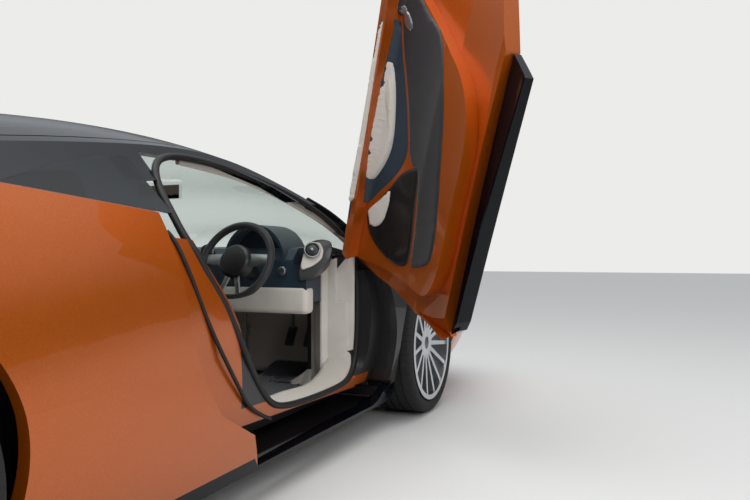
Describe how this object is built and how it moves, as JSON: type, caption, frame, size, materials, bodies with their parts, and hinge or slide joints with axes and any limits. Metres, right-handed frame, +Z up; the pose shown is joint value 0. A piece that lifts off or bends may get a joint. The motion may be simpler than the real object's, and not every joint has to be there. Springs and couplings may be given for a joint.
{
  "type": "mid-engined two-seat sports car",
  "caption": "Low mid-engined two-seat coupe with upward-swinging doors, the right one open, opening front and rear lids, steered front wheels and turning wheels.",
  "frame": {"origin": "on the ground in the centre plane, midway between the axles", "axes": "+X forwards, +Y to the car's left, +Z up"},
  "size_m": [4.7092, 2.6724, 2.0082],
  "materials": {
    "paint": "orange metallic, clear coat, gloss",
    "black_gloss": "gloss black",
    "roof_paint": "blue-black, gloss",
    "black_plastic": "satin black",
    "carbon": "moulded composite, satin",
    "glass": "clear tinted",
    "lamp_glass": "clear lens",
    "tail_glass": "red lens",
    "alloy": "turned and lacquered",
    "casting": "as cast",
    "steel": "brushed",
    "tyre": "matt rubber",
    "cream_leather": "smooth leather",
    "navy_leather": "smooth leather",
    "grey_leather": "smooth leather"
  },
  "bodies": {
    "body": {"arch_liners": "black_plastic", "binnacle": "navy_leather", "centre_console": "grey_leather", "dashboard": "navy_leather", "door_hinges": "steel", "engine": "casting", "exhaust_tips": "steel", "fender_left": "paint", "fender_right": "paint", "fender_vents": "paint", "front_bumper": "paint", "front_grilles": "black_plastic", "headlamps": "lamp_glass", "inside_mirror": "black_plastic", "kick_panels": "cream_leather", "luggage_floor": "grey_leather", "pedals": "alloy", "quarter_glass": "glass", "quarter_left": "paint", "quarter_right": "paint", "rear_bumper": "paint", "rear_grille": "black_plastic", "roof_frame": "roof_paint", "seat_left": "cream_leather", "seat_right": "cream_leather", "side_skirts": "black_gloss", "sill_left": "paint", "sill_right": "paint", "steering_column": "black_plastic", "suspension_front": "casting", "suspension_rear": "casting", "tail_lamps": "tail_glass", "tub": "carbon", "undertray": "black_plastic", "windscreen": "glass"},
    "door_right": {"door_right": "paint", "door_card_right": "navy_leather", "door_sill_right": "black_gloss", "mirror_right": "black_gloss"},
    "door_left": {"door_left": "paint", "door_card_left": "navy_leather", "door_sill_left": "black_gloss", "door_glass_left": "glass", "mirror_left": "black_gloss"},
    "bonnet": {"bonnet": "paint"},
    "tailgate": {"tailgate": "roof_paint", "tailgate_glass": "glass"},
    "knuckle_right": {"knuckle_right": "casting"},
    "knuckle_left": {"knuckle_left": "casting"},
    "steering_wheel": {"steering_wheel": "grey_leather"},
    "wheel_front_right": {"wheel_front_right": "alloy", "tyre_front_right": "tyre"},
    "wheel_front_left": {"wheel_front_left": "alloy", "tyre_front_left": "tyre"},
    "wheel_rear_right": {"wheel_rear_right": "alloy", "tyre_rear_right": "tyre"},
    "wheel_rear_left": {"wheel_rear_left": "alloy", "tyre_rear_left": "tyre"}
  },
  "joints": [
    {"name": "steering_wheel_turn", "type": "hinge", "parent": "body", "child": "steering_wheel", "pos_m": [0.52, -0.37, 0.735], "axis": [-0.9272, 0, 0.3746], "range_deg": [-450, 450]},
    {"name": "steer_right", "type": "hinge", "parent": "body", "child": "knuckle_right", "pos_m": [1.3375, -0.7655, 0.3325], "axis": [0, 0, 1], "range_deg": [-30, 30]},
    {"name": "steer_left", "type": "hinge", "parent": "body", "child": "knuckle_left", "pos_m": [1.3375, 0.7655, 0.3325], "axis": [0, 0, 1], "range_deg": [-30, 30]},
    {"name": "spin_front_right", "type": "hinge", "parent": "knuckle_right", "child": "wheel_front_right", "pos_m": [1.3375, -0.8355, 0.3325], "axis": [0, 1, 0], "continuous": true},
    {"name": "spin_front_left", "type": "hinge", "parent": "knuckle_left", "child": "wheel_front_left", "pos_m": [1.3375, 0.8355, 0.3325], "axis": [0, 1, 0], "continuous": true},
    {"name": "spin_rear_right", "type": "hinge", "parent": "body", "child": "wheel_rear_right", "pos_m": [-1.3375, -0.8125, 0.355], "axis": [0, 1, 0], "continuous": true},
    {"name": "spin_rear_left", "type": "hinge", "parent": "body", "child": "wheel_rear_left", "pos_m": [-1.3375, 0.8125, 0.355], "axis": [0, 1, 0], "continuous": true},
    {"name": "door_right_swing", "type": "hinge", "parent": "body", "child": "door_right", "pos_m": [0.77489, -0.77768, 0.80103], "axis": [-0.4383, 0.6844, 0.5827], "range_deg": [-85, 0]},
    {"name": "door_left_swing", "type": "hinge", "parent": "body", "child": "door_left", "pos_m": [0.77489, 0.77768, 0.80103], "axis": [0.4383, 0.6844, -0.5827], "range_deg": [0, 85]},
    {"name": "bonnet_lift", "type": "hinge", "parent": "body", "child": "bonnet", "pos_m": [1.085, 0, 0.788], "axis": [0, -1, 0], "range_deg": [0, 50]},
    {"name": "tailgate_lift", "type": "hinge", "parent": "body", "child": "tailgate", "pos_m": [-0.12, 0, 1.16], "axis": [0, 1, 0], "range_deg": [0, 40]}
  ],
  "couplings": [
    {"joint": "steer_right", "follows": "steering_wheel_turn", "ratio": 0.066667},
    {"joint": "steer_left", "follows": "steering_wheel_turn", "ratio": 0.066667}
  ]
}
